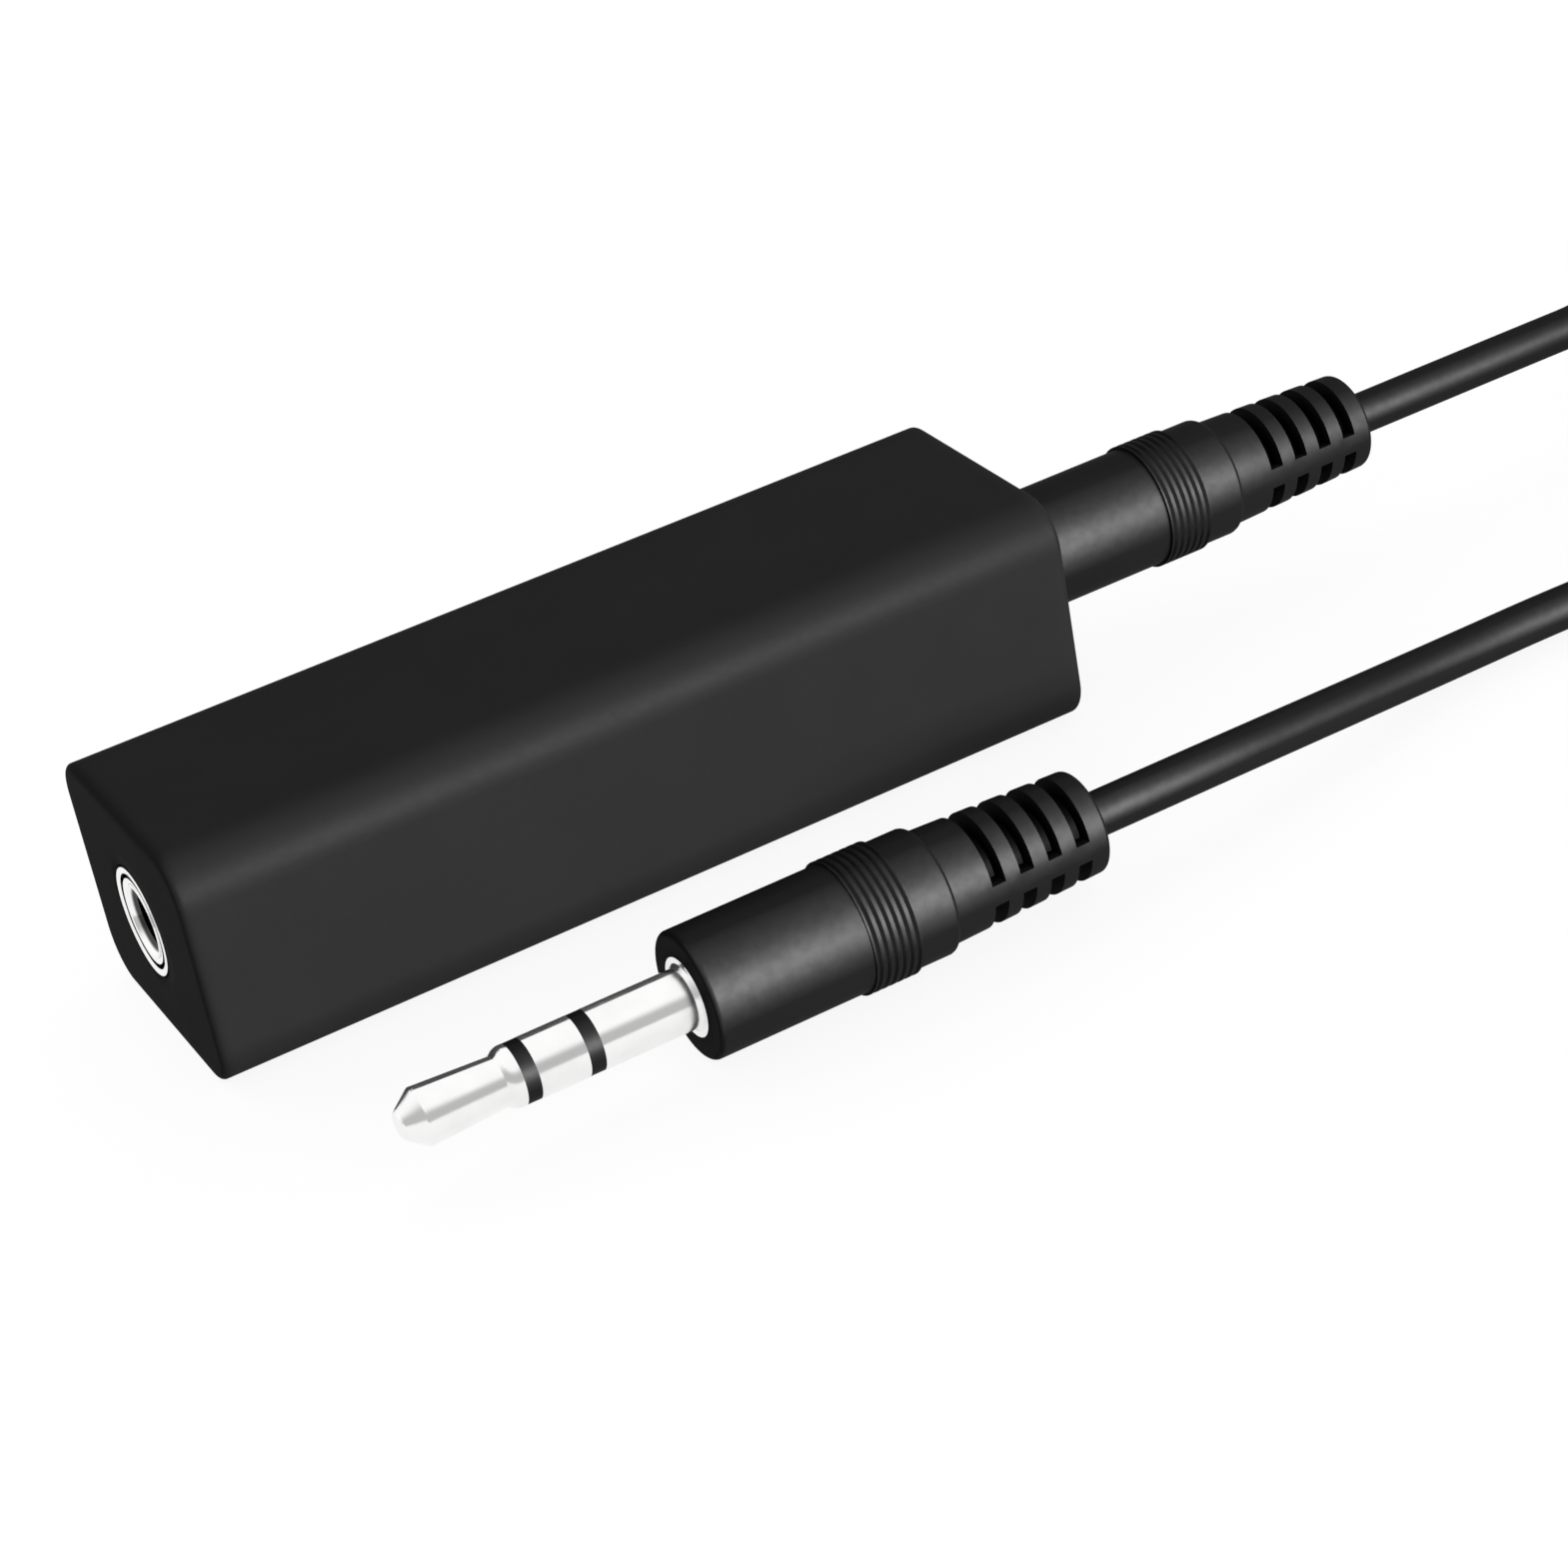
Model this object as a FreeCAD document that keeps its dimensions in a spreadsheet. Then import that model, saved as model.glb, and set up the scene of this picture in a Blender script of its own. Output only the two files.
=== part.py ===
import FreeCAD, Part
import math
import os
import re
import Sketcher

# Ground loop isolator: a small moulded box with a 3.5 mm stereo socket in each end and two
# one-to-one audio transformers between them, and its lead, a cord with a moulded 3.5 mm
# stereo plug on each end. One plug is in the right-hand socket, the other lies in front.
#
# Frame, in millimetres: the origin is the middle of the box's underside, +X runs along the
# box from the empty socket to the one in use, +Y points to the back, and +Z is up.

sizes = {
    # Box moulding
    "housing_length": 55.56,
    "housing_width": 17.72,
    "housing_height": 14.38,
    "housing_wall": 1.2,
    "housing_corner": 2.7,      # radius of the four long edges
    "housing_edge": 0.35,       # radius round each end face
    "least_round": 0.2,         # smallest radius inside the moulding
    # Cover let into the underside
    "cover_inset": 1.7,         # end face to the cover's recess
    "cover_margin": 0.1,        # flat left between a long edge's curve and the recess
    "cover_thickness": 0.6,
    "cover_ledge": 0.6,         # width of the step that the cover seats on
    "cover_gap": 0.08,          # clearance round the cover
    "rib_thickness": 1.0,
    "rib_back": 8.78,           # end face to the middle of each outer rib
    "hook_length": 4.0,
    "hook_back": 7.88,          # end face to the middle of each snap hook
    "hook_height": 0.65,
    "hook_reach": 0.3,          # how far a hook holds behind the wall
    "hook_stem": 0.8,
    "hook_play": 0.05,
    # Circuit board
    "board_lift": 2.4,          # underside of the box to underside of the board
    "board_thickness": 1.0,
    "board_gap": 0.2,           # clearance of the board through the opening
    "hole_gap": 0.12,           # clearance of a leg or pin in the board
    "leg_clear": 0.2,           # cover to the end of a leg or pin below the board
    # Sockets
    "fit_gap": 0.02,            # clearance between pieces pressed or moulded together
    "shaft_gap": 0.05,          # clearance of a plug in the bush
    "bush_wall": 0.4,
    "mouth_flare": 0.3,         # how much wider the bush's mouth is than its bore
    "bush_funnel": 0.5,
    "bush_short": 0.26,         # end of the bush to the end of a plug's sleeve
    "nose_wall": 0.38,          # bush to bezel
    "nose_recess": 0.1,
    "bezel_wall": 0.82,
    "bezel_proud": 0.1,
    "bezel_chamfer": 0.12,
    "bore_ease": 0.25,          # how much wider the moulded bore is than the bush
    "tip_room": 0.44,           # a plug's tip to the end of the bore
    "socket_play": 0.65,        # end wall to socket block, so that the board can be slid in
    "socket_end": 0.5,
    "socket_width": 9.0,
    "socket_headroom": 2.18,    # socket block to the top wall
    "pocket_height": 2.0,
    "pocket_lead": 0.8,         # room ahead of a spring's free end
    # Socket springs
    "spring_thickness": 0.25,
    "spring_width": 1.6,
    "spring_side": 3.4,         # socket axis to the fixed end of a spring
    "spring_length": 5.3,       # bend to fixed end, along the axis
    "spring_foot": 1.8,         # straight fixed end
    "spring_nose": 1.5,         # bend to free end, along the axis
    "spring_flare": 1.0,        # bend to free end, sideways
    "spring_gap": 0.03,         # clearance between a bent spring and the plug
    "spring_travel": 0.45,      # how far a plug bends a spring
    "tip_catch": 0.57,          # waist of the tip to the place where its spring bears
    "leg_width": 1.2,
    "leg_thickness": 0.3,
    # Transformers
    "core_clear": 0.68,         # transformer to socket block
    "core_gap": 0.6,            # space between the two transformers
    "leg_share": 0.28,          # width of the middle leg, in widths of the whole core
    "bobbin_clear": 0.1,
    "bobbin_wall": 0.4,
    "bobbin_flange": 0.5,
    "bobbin_lift": 0.2,         # board to bobbin
    "bobbin_headroom": 2.38,    # bobbin to the top wall
    "winding_tape": 0.05,       # insulation between primary and secondary
    "winding_short": 0.2,       # windings to the sides of the flanges
    "winding_sink": 0.3,        # windings to the top and bottom of the flanges
    "winding_round": 0.4,
    "pin_radius": 0.25,
    "pin_margin": 0.91,         # edge of the board to a row of pins
    "pin_edge": 0.45,           # end of the rail to the outermost pin
    "pin_inset": 0.45,          # outer face of the rail to the row of pins
    "pin_depth": 1.2,
    "rail_short": 0.1,          # rail to the end of the core
    # Plug, metal part, measured from the face of the grip towards the tip
    "shaft_radius": 1.75,
    "sleeve_length": 5.79,
    "rear_band": 0.88,
    "ring_length": 2.88,
    "front_band": 0.84,
    "tip_flare": 0.86,          # front band to the waist, behind the tip's shoulder
    "tip_head": 4.6,
    "tip_cone": 1.25,
    "waist_cut": 0.33,          # how much thinner the tip is at its waist than the shaft
    "head_cut": 0.09,           # how much thinner the tip is at its head than the shaft
    "apex_radius": 0.72,
    "shoulder_share": 0.57,     # part of the flare that is as thick as the shaft
    "shoulder_curve": 1.15,     # rounding of the shoulder, in lengths of the flare
    "head_round": 0.2,
    "apex_round": 0.5,
    "band_sink": 0.02,          # insulating bands lie this much below the metal
    "rod_radius": 0.5,
    "tube_wall": 0.22,          # wall of each tube that runs back into the grip
    "tail_step": 0.9,           # each inner tube reaches this much further back
    "sleeve_tail": 3.2,
    "flange_radius": 2.3,
    "flange_proud": 0.05,
    "flange_thickness": 0.5,
    "flange_fillet": 0.2,
    # Plug, moulded grip with its strain relief, measured from its face towards the cord
    "grip_radius": 3.71,
    "grip_length": 14.81,
    "grip_face_round": 0.3,
    "grip_rear_round": 0.3,
    "round_share": 0.9,         # most of a step's height that its rounding may take
    "band_back": 2.54,          # band to the grip's rear step
    "band_length": 2.9,
    "band_rise": 0.18,          # how far the band stands out of the grip
    "groove_margin": 0.12,      # end of the band to the first groove
    "groove_width": 0.26,
    "groove_depth": 0.13,
    "relief_length": 10.02,
    "relief_step": 0.36,        # grip to relief
    "relief_taper": 0.35,       # how much thinner the relief gets towards the cord
    "relief_round": 0.25,
    "slot_lead": 2.39,          # grip's rear step to the first slot
    "slot_tail": 1.26,          # last slot to the relief's end
    "slot_width": 0.88,
    "slot_wall": 0.65,          # cord to the bottom of a slot
    "slot_web": 11.0,           # half the angle of the web between two slots, degrees
    # Places of the two plugs
    "plug_stand_off": 0.78,     # bezel to plug flange: the plug isn't pushed quite home
    "free_plug_x": -6.35,
    "free_plug_y": -23.43,
    "floor_gap": 0.01,
    # Cord
    "cord_radius": 1.3,
    "coil_x": 95.6,             # middle of the coil
    "coil_y": -17.0,
    "coil_middle": 15.0,        # radius of the middle of the turns
    "coil_spread": 2.96,        # half the distance between inner and outer turns
    "coil_stub": 10.6,          # straight stretch where the cord leaves the coil
    "tail_run": 5.9,            # the tail goes on as straight beyond the stretch
}
groove_count = 6
slot_count = 4
coil_layers = 4
tube_count = 4                  # tubes round the tip's rod that run back into each grip
trim_share = 0.45               # part of its shorter run that a bend of the cord takes up
edge_share = 0.9                # rounding of the coil's outer shape, in cord radii
near = 1e-4                     # distance under which two places count as one

doc = FreeCAD.newDocument("ground_loop_isolator")
sheet = doc.addObject("Spreadsheet::Sheet", "Sizes")
for row, (word, number) in enumerate(sizes.items(), start=1):
    sheet.set(f"A{row}", word)
    sheet.set(f"B{row}", str(number))
    sheet.setAlias(f"B{row}", word)
doc.recompute()


def size(word):
    """Value of one cell of the sheet."""
    return float(getattr(sheet, word))


def bound(text):
    """The same expression with each size's name pointed at the sheet."""
    return re.sub(r"\b[a-z]+(_[a-z]+)+\b", lambda word: f"Sizes.{word.group(0)}", text)


def bind(item, name, text):
    """Tie one property of an object to the sheet."""
    item.setExpression(name, bound(text))


def place(item, x="0", y="0", z="0", turn=0):
    """Turn an object about the vertical and tie its place to the sheet."""
    upright = FreeCAD.Vector(0, 0, 1)
    item.Placement = FreeCAD.Placement(FreeCAD.Vector(), FreeCAD.Rotation(upright, turn))
    bind(item, "Placement.Base.x", x)
    bind(item, "Placement.Base.y", y)
    bind(item, "Placement.Base.z", z)


nodes = []


def node(item, label):
    """Name an object as one sub-part of the model."""
    item.Label = label
    nodes.append(item)
    return item


# Sketches and features

def new_sketch(body, name, role, offset="0"):
    """A sketch on one of the body's own origin planes, moved along its normal."""
    sketch = body.newObject("Sketcher::SketchObject", name)
    plane = next(part for part in body.Origin.OriginFeatures if part.Role == role)
    sketch.AttachmentSupport = [(plane, "")]
    sketch.MapMode = "FlatFace"
    bind(sketch, "AttachmentOffset.Base.z", offset)
    return sketch


def polygon(sketch, corners):
    """A closed run of straight lines whose corners are tied to the sheet."""
    first = sketch.GeometryCount
    count = len(corners)
    rough = [FreeCAD.Vector(math.cos(2 * math.pi * i / count), math.sin(2 * math.pi * i / count), 0)
             for i in range(count)]
    for i in range(count):
        sketch.addGeometry(Part.LineSegment(rough[i], rough[(i + 1) % count]))
    for i in range(count):
        following = first + (i + 1) % count
        sketch.addConstraint(Sketcher.Constraint("Coincident", first + i, 2, following, 1))
    for i, corner in enumerate(corners):
        for kind, text in zip(("DistanceX", "DistanceY"), corner):
            start = rough[i].x if kind == "DistanceX" else rough[i].y
            number = sketch.addConstraint(Sketcher.Constraint(kind, -1, 1, first + i, 1, start))
            bind(sketch, f"Constraints[{number}]", text)


def rectangle(sketch, across, up):
    """A rectangle between two pairs of limits."""
    polygon(sketch, [(across[0], up[0]), (across[1], up[0]), (across[1], up[1]), (across[0], up[1])])


def centred(text):
    """Limits half the given length to each side."""
    return (f"-({text}) / 2", f"({text}) / 2")


def circle(sketch, x, y, radius):
    """A circle whose centre and radius are tied to the sheet."""
    number = sketch.addGeometry(Part.Circle(FreeCAD.Vector(), FreeCAD.Vector(0, 0, 1), 1))
    for kind, text in (("DistanceX", x), ("DistanceY", y)):
        tied = sketch.addConstraint(Sketcher.Constraint(kind, -1, 1, number, 3, 0))
        bind(sketch, f"Constraints[{tied}]", text)
    tied = sketch.addConstraint(Sketcher.Constraint("Radius", number, 1))
    bind(sketch, f"Constraints[{tied}]", radius)


def extrude(body, kind, sketch, length, side="One side", reverse=False):
    """A pad or a pocket of a sketch."""
    feature = body.newObject(f"PartDesign::{kind}", f"{kind}_{sketch.Name}")
    feature.Profile = sketch
    feature.SideType = side
    feature.Reversed = reverse
    bind(feature, "Length", length)
    return feature


def round_edges(body, name, radius, wanted):
    """A fillet on every edge of the body that the test picks out."""
    doc.recompute()
    base = body.Tip
    picked = [f"Edge{i}" for i, edge in enumerate(base.Shape.Edges, start=1) if wanted(edge)]
    feature = body.newObject("PartDesign::Fillet", name)
    feature.Base = (base, picked)
    bind(feature, "Radius", radius)


def turned(label, corners):
    """A body turned about X from a profile of (place along X, radius) corners."""
    body = doc.addObject("PartDesign::Body", label)
    sketch = new_sketch(body, f"profile_{label}", "XZ_Plane")
    polygon(sketch, corners)
    feature = body.newObject("PartDesign::Revolution", f"turn_{label}")
    feature.Profile = sketch
    feature.ReferenceAxis = (sketch, ["H_Axis"])
    feature.Angle = 360
    return body


def rim(radius, x=None):
    """Test for a circular edge about X of one radius and, if given, at one place."""
    def test(edge):
        if not isinstance(edge.Curve, Part.Circle) or abs(edge.Curve.Radius - radius) > near:
            return False
        return x is None or abs(edge.Curve.Center.x - x) < near
    return test


# Solids and booleans

def block(name, across, deep, high):
    """A box between three pairs of limits."""
    item = doc.addObject("Part::Box", name)
    for side, corner, limits in (("Length", "x", across), ("Width", "y", deep), ("Height", "z", high)):
        bind(item, side, f"({limits[1]}) - ({limits[0]})")
        bind(item, f"Placement.Base.{corner}", limits[0])
    return item


def rod(name, radius, start, end, y="0", z="0"):
    """A round bar along X."""
    item = doc.addObject("Part::Cylinder", name)
    item.Placement.Rotation = FreeCAD.Rotation(FreeCAD.Vector(0, 1, 0), 90)
    bind(item, "Radius", radius)
    bind(item, "Height", f"({end}) - ({start})")
    bind(item, "Placement.Base.x", start)
    bind(item, "Placement.Base.y", y)
    bind(item, "Placement.Base.z", z)
    return item


def post(name, radius, x, y, bottom, top):
    """A round bar along Z."""
    item = doc.addObject("Part::Cylinder", name)
    bind(item, "Radius", radius)
    bind(item, "Height", f"({top}) - ({bottom})")
    bind(item, "Placement.Base.x", x)
    bind(item, "Placement.Base.y", y)
    bind(item, "Placement.Base.z", bottom)
    return item


def fuse(name, pieces):
    """One shape from several."""
    item = doc.addObject("Part::MultiFuse", name)
    item.Shapes = pieces
    item.Refine = True
    return item


def cut(name, base, pieces):
    """The base without the pieces."""
    item = doc.addObject("Part::Cut", name)
    item.Base = base
    item.Tool = pieces[0] if len(pieces) == 1 else fuse(f"{name}_cutters", pieces)
    item.Refine = True
    return item


# Box moulding: four walls and a top in one, open below for the board, with a round hole
# in each end wall for the socket's bezel.

bush_bore = "(shaft_radius + shaft_gap)"
bush_radius = f"({bush_bore} + bush_wall)"
bezel_bore = f"({bush_radius} + nose_wall)"
bezel_radius = f"({bezel_bore} + bezel_wall)"
recess_length = "housing_length - 2 * cover_inset"
recess_width = "housing_width - 2 * housing_corner - 2 * cover_margin"
opening_length = f"{recess_length} - 2 * cover_ledge"
opening_width = f"{recess_width} - 2 * cover_ledge"
inner_length = "housing_length - 2 * housing_wall"
inner_width = "housing_width - 2 * housing_wall"
axis_height = "housing_height / 2"


def along_x(edge):
    """Test for a straight edge that runs along the box."""
    return isinstance(edge.Curve, Part.Line) and abs(edge.Curve.Direction.x) > 0.99


def at_end(edge):
    """Test for an edge that lies in an end face of the box."""
    end = size("housing_length") / 2
    return abs(edge.BoundBox.XMin) > end - near and edge.BoundBox.XLength < near


def inside_long(edge):
    """Test for a long edge of the cavity."""
    side = size("housing_width") / 2 - size("housing_wall")
    return along_x(edge) and abs(abs(edge.BoundBox.YMin) - side) < near


shell = doc.addObject("PartDesign::Body", "housing_shell")
sketch = new_sketch(shell, "outside", "YZ_Plane")
rectangle(sketch, centred("housing_width"), ("0", "housing_height"))
extrude(shell, "Pad", sketch, "housing_length", "Symmetric")
round_edges(shell, "long_edges", "housing_corner", along_x)
round_edges(shell, "end_edges", "housing_edge", at_end)
sketch = new_sketch(shell, "cavity", "YZ_Plane")
rectangle(sketch, centred(inner_width), ("housing_wall", "housing_height - housing_wall"))
extrude(shell, "Pocket", sketch, inner_length, "Symmetric")
round_edges(shell, "cavity_edges", "max(housing_corner - housing_wall; least_round)", inside_long)
sketch = new_sketch(shell, "opening", "XY_Plane")
rectangle(sketch, centred(opening_length), centred(opening_width))
extrude(shell, "Pocket", sketch, "housing_wall", reverse=True)
sketch = new_sketch(shell, "recess", "XY_Plane")
rectangle(sketch, centred(recess_length), centred(recess_width))
extrude(shell, "Pocket", sketch, "cover_thickness", reverse=True)
sketch = new_sketch(shell, "end_holes", "YZ_Plane")
circle(sketch, "0", axis_height, f"{bezel_radius} + fit_gap")
extrude(shell, "Pocket", sketch, "2 * housing_length", "Symmetric")
node(shell, "housing_shell")

# Bottom cover: a plate in the recess, with a raised pad that fits the opening, three ribs
# that carry the board, and four snap hooks that hold behind the wall.

pad_length = f"{opening_length} - 2 * cover_gap"
pad_width = f"{opening_width} - 2 * cover_gap"
rib_length = f"{pad_width} - 2 * hook_stem"
cover_pieces = [
    block("cover_plate", centred(f"{recess_length} - 2 * cover_gap"),
          centred(f"{recess_width} - 2 * cover_gap"), ("0", "cover_thickness")),
    block("cover_pad", centred(pad_length), centred(pad_width), ("cover_thickness", "housing_wall")),
]
rib_place = "(housing_length / 2 - rib_back)"
for name, x in (("left", f"-{rib_place}"), ("middle", "0"), ("right", rib_place)):
    along = (f"{x} - rib_thickness / 2", f"{x} + rib_thickness / 2")
    cover_pieces.append(block(f"cover_rib_{name}", along, centred(rib_length),
                              ("housing_wall", "board_lift")))
for end in ("-", ""):
    middle = f"{end}(housing_length / 2 - hook_back)"
    along = (f"{middle} - hook_length / 2", f"{middle} + hook_length / 2")
    stem = (f"({pad_width}) / 2 - hook_stem", f"({pad_width}) / 2")
    hook = (stem[0], f"({opening_width}) / 2 + hook_reach")
    rise = ("housing_wall", "housing_wall + hook_height")
    lip = ("housing_wall + hook_play", rise[1])
    word = "left" if end else "right"
    cover_pieces.append(block(f"stem_back_{word}", along, stem, rise))
    cover_pieces.append(block(f"hook_back_{word}", along, hook, lip))
    cover_pieces.append(block(f"stem_front_{word}", along, (f"-({stem[1]})", f"-({stem[0]})"), rise))
    cover_pieces.append(block(f"hook_front_{word}", along, (f"-({hook[1]})", f"-({hook[0]})"), lip))
node(fuse("cover", cover_pieces), "bottom_cover")

# Heights and places that the board shares with what stands on it. A socket's own frame has
# its origin in the end face of the box, on the socket's axis, with +X going in, and it is as
# deep as the plug needs. The two transformers fill the length between the sockets.

inner_top = "(housing_height - housing_wall)"
board_top = "(board_lift + board_thickness)"
board_drop = f"({axis_height} - {board_top})"
leg_end = "(housing_wall + leg_clear)"
leg_bottom = f"-({axis_height} - {leg_end})"

plug_face = "(bezel_proud + plug_stand_off + flange_proud)"
neck_length = "(sleeve_length + rear_band + ring_length + front_band)"
waist_length = f"({neck_length} + tip_flare)"
shaft_length = f"({waist_length} + tip_head + tip_cone)"
bush_length = f"(sleeve_length - {plug_face} - bush_short)"
bore_depth = f"({shaft_length} - {plug_face} + tip_room)"
socket_depth = f"({bore_depth} + socket_end)"
socket_height = f"({inner_top} - {board_top} - socket_headroom)"
block_front = "(housing_wall + socket_play)"
spring_bend = {"tip": f"({waist_length} + tip_catch - {plug_face})",
               "ring": f"(sleeve_length + rear_band + ring_length / 2 - {plug_face})"}
spring_end = {contact: f"({bend} + spring_length)" for contact, bend in spring_bend.items()}
bush_leg = f"({bush_length} - leg_thickness / 2)"

core_width = f"((housing_length - 2 * {socket_depth} - core_gap - 2 * core_clear) / 2)"
core_centre = f"(leg_share * {core_width})"
core_side = f"({core_centre} / 2)"
pin_row = f"(({opening_width}) / 2 - board_gap - pin_margin)"
core_length = f"(2 * ({pin_row} + pin_inset + rail_short))"
flange_x = f"({core_width} / 2 - {core_side} - bobbin_clear)"
pin_spacing = f"({flange_x} - pin_edge)"
bobbin_height = f"({inner_top} - {board_top} - bobbin_lift - bobbin_headroom)"
winding_z = f"({board_top} + bobbin_lift + {bobbin_height} / 2)"
transformer_x = f"(({core_width} + core_gap) / 2)"
pin_places = [(f"-{pin_spacing}", "-"), ("0", "-"), (pin_spacing, "-"),
              (f"-{pin_spacing}", ""), ("0", ""), (pin_spacing, "")]

# Circuit board, with a hole for every leg and pin.

through = ("board_lift - board_thickness", f"{board_top} + board_thickness")
board_holes = []
for word, sign in (("left", "-"), ("right", "")):
    for contact, side in (("tip", "" if sign else "-"), ("ring", "-" if sign else "")):
        x = f"{sign}(housing_length / 2 - {spring_end[contact]} + leg_width / 2)"
        half = "(leg_width / 2 + hole_gap)"
        y = f"{side}spring_side"
        thick = "(spring_thickness / 2 + hole_gap)"
        board_holes.append(block(f"slot_{contact}_{word}", (f"{x} - {half}", f"{x} + {half}"),
                                 (f"{y} - {thick}", f"{y} + {thick}"), through))
    x = f"{sign}(housing_length / 2 - {bush_leg})"
    thick = "(leg_thickness / 2 + hole_gap)"
    board_holes.append(block(f"slot_bush_{word}", (f"{x} - {thick}", f"{x} + {thick}"),
                             centred("leg_width + 2 * hole_gap"), through))
    for i, (pin_x, pin_side) in enumerate(pin_places):
        board_holes.append(post(f"pin_hole_{word}_{i}", "pin_radius + hole_gap",
                                f"{sign}{transformer_x} + {pin_x}", f"{pin_side}{pin_row}", *through))
board_blank = block("board_blank", centred(f"{opening_length} - 2 * board_gap"),
                    centred(f"{opening_width} - 2 * board_gap"), ("board_lift", board_top))
node(cut("board", board_blank, board_holes), "circuit_board")


# Sockets

waist_radius = "(shaft_radius - waist_cut)"
head_radius = "(shaft_radius - head_cut)"
bearing_radius = {
    "tip": f"({waist_radius} + tip_catch / tip_head * ({head_radius} - {waist_radius}))",
    "ring": "shaft_radius",
}


def spring(contact, sign, word, plugged):
    """A leaf spring along the socket's side, bent to a vee, with a leg down to the board."""
    bend = spring_bend[contact]
    end = spring_end[contact]
    reach = f"{bearing_radius[contact]} + spring_gap + spring_thickness / 2"
    if not plugged:
        reach += " - spring_travel"
    line = [
        (end, "spring_side"),
        (f"{end} - spring_foot", "spring_side"),
        (bend, reach),
        (f"{bend} - spring_nose", f"{reach} + spring_flare"),
    ]
    outer = [(x, f"{sign}({y} + spring_thickness / 2)") for x, y in line]
    inner = [(x, f"{sign}({y} - spring_thickness / 2)") for x, y in line]
    leaf = doc.addObject("PartDesign::Body", f"{contact}_leaf_{word}")
    sketch = new_sketch(leaf, f"{contact}_bends_{word}", "XY_Plane")
    polygon(sketch, outer + inner[::-1])
    extrude(leaf, "Pad", sketch, "spring_width", "Symmetric")
    sides = [f"{sign}(spring_side {half} spring_thickness / 2)" for half in ("-", "+")]
    if sign:
        sides.reverse()
    leg = block(f"{contact}_leg_{word}", (f"{end} - leg_width", end), sides, (leg_bottom, "0"))
    return fuse(f"{contact}_spring_fused_{word}", [leaf, leg])


def socket_block(word):
    """Moulded block with its nose, bores, spring pockets and slots for the legs."""
    high = (f"-{board_drop}", f"{socket_height} - {board_drop}")
    blank = fuse(f"blank_{word}", [
        block(f"body_{word}", (block_front, socket_depth), centred("socket_width"), high),
        rod(f"nose_{word}", f"{bezel_bore} - fit_gap", "nose_recess", block_front),
    ])
    below = f"-2 * {board_drop}"
    cutters = [
        rod(f"bush_seat_{word}", f"{bush_radius} + fit_gap", f"-{bush_length}",
            f"{bush_length} + fit_gap"),
        rod(f"bore_{word}", f"{bush_bore} + bore_ease", "0", bore_depth),
        block(f"bush_slot_{word}",
              (f"{bush_length} - leg_thickness - hole_gap", f"{bush_length} + fit_gap"),
              centred("leg_width + 2 * hole_gap"), (below, "0")),
    ]
    for contact, sign in (("tip", ""), ("ring", "-")):
        ahead = f"{spring_bend[contact]} - spring_nose - pocket_lead"
        behind = f"{spring_end[contact]} + hole_gap"
        room = ("0", "socket_width") if not sign else ("-socket_width", "0")
        cutters.append(block(f"{contact}_pocket_{word}", (ahead, behind), room,
                             centred("pocket_height")))
        y = f"{sign}spring_side"
        thick = "(spring_thickness / 2 + hole_gap)"
        leg_front = f"{spring_end[contact]} - leg_width - hole_gap"
        cutters.append(block(f"{contact}_slot_{word}", (leg_front, behind),
                             (f"{y} - {thick}", f"{y} + {thick}"), (below, "0")))
    return cut(f"socket_{word}", blank, cutters)


def socket(word, plugged):
    """One socket with its own pieces, set into an end wall."""
    x = "housing_length / 2" if plugged else "-housing_length / 2"
    turn = 180 if plugged else 0
    pieces = {}
    pieces["socket_block"] = socket_block(word)
    bush = turned(f"bush_tube_{word}", [
        ("0", f"{bush_bore} + mouth_flare"), ("bush_funnel", bush_bore), (bush_length, bush_bore),
        (bush_length, bush_radius), ("0", bush_radius)])
    leg = block(f"bush_leg_{word}", (f"{bush_length} - leg_thickness", bush_length),
                centred("leg_width"), (leg_bottom, f"-({bush_bore} + {bush_radius}) / 2"))
    pieces["sleeve_contact"] = fuse(f"bush_{word}", [bush, leg])
    pieces["socket_bezel"] = turned(f"bezel_{word}", [
        ("-bezel_proud", bezel_bore), ("-bezel_proud", f"{bezel_radius} - bezel_chamfer"),
        ("bezel_chamfer - bezel_proud", bezel_radius), ("housing_wall", bezel_radius),
        ("housing_wall", bezel_bore)])
    for contact, sign in (("tip", ""), ("ring", "-")):
        pieces[f"{contact}_spring"] = spring(contact, sign, word, plugged)
    for name, item in pieces.items():
        place(item, x, "0", axis_height, turn)
        node(item, f"{name}_{word}")


socket("left", plugged=False)
socket("right", plugged=True)


# Transformers. Each is a laminated E and I core round a bobbin with two windings, one over
# the other. Its own frame has its origin in the middle of the winding.

window = f"({core_length} / 2 - {core_side} - bobbin_clear)"
hole_x = f"({core_centre} / 2 + bobbin_clear)"
room_x = f"({flange_x} - {hole_x} - bobbin_wall - fit_gap - winding_tape - winding_short)"
winding_build = f"({room_x} / 2)"
wound = f"(bobbin_wall + fit_gap + 2 * {winding_build} + winding_tape + winding_sink)"
hole_z = f"({bobbin_height} / 2 - {wound})"
core_stack = f"(2 * ({hole_z} - bobbin_clear))"


def both(text):
    """Limits the given distance to each side."""
    return (f"-{text}", text)


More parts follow.
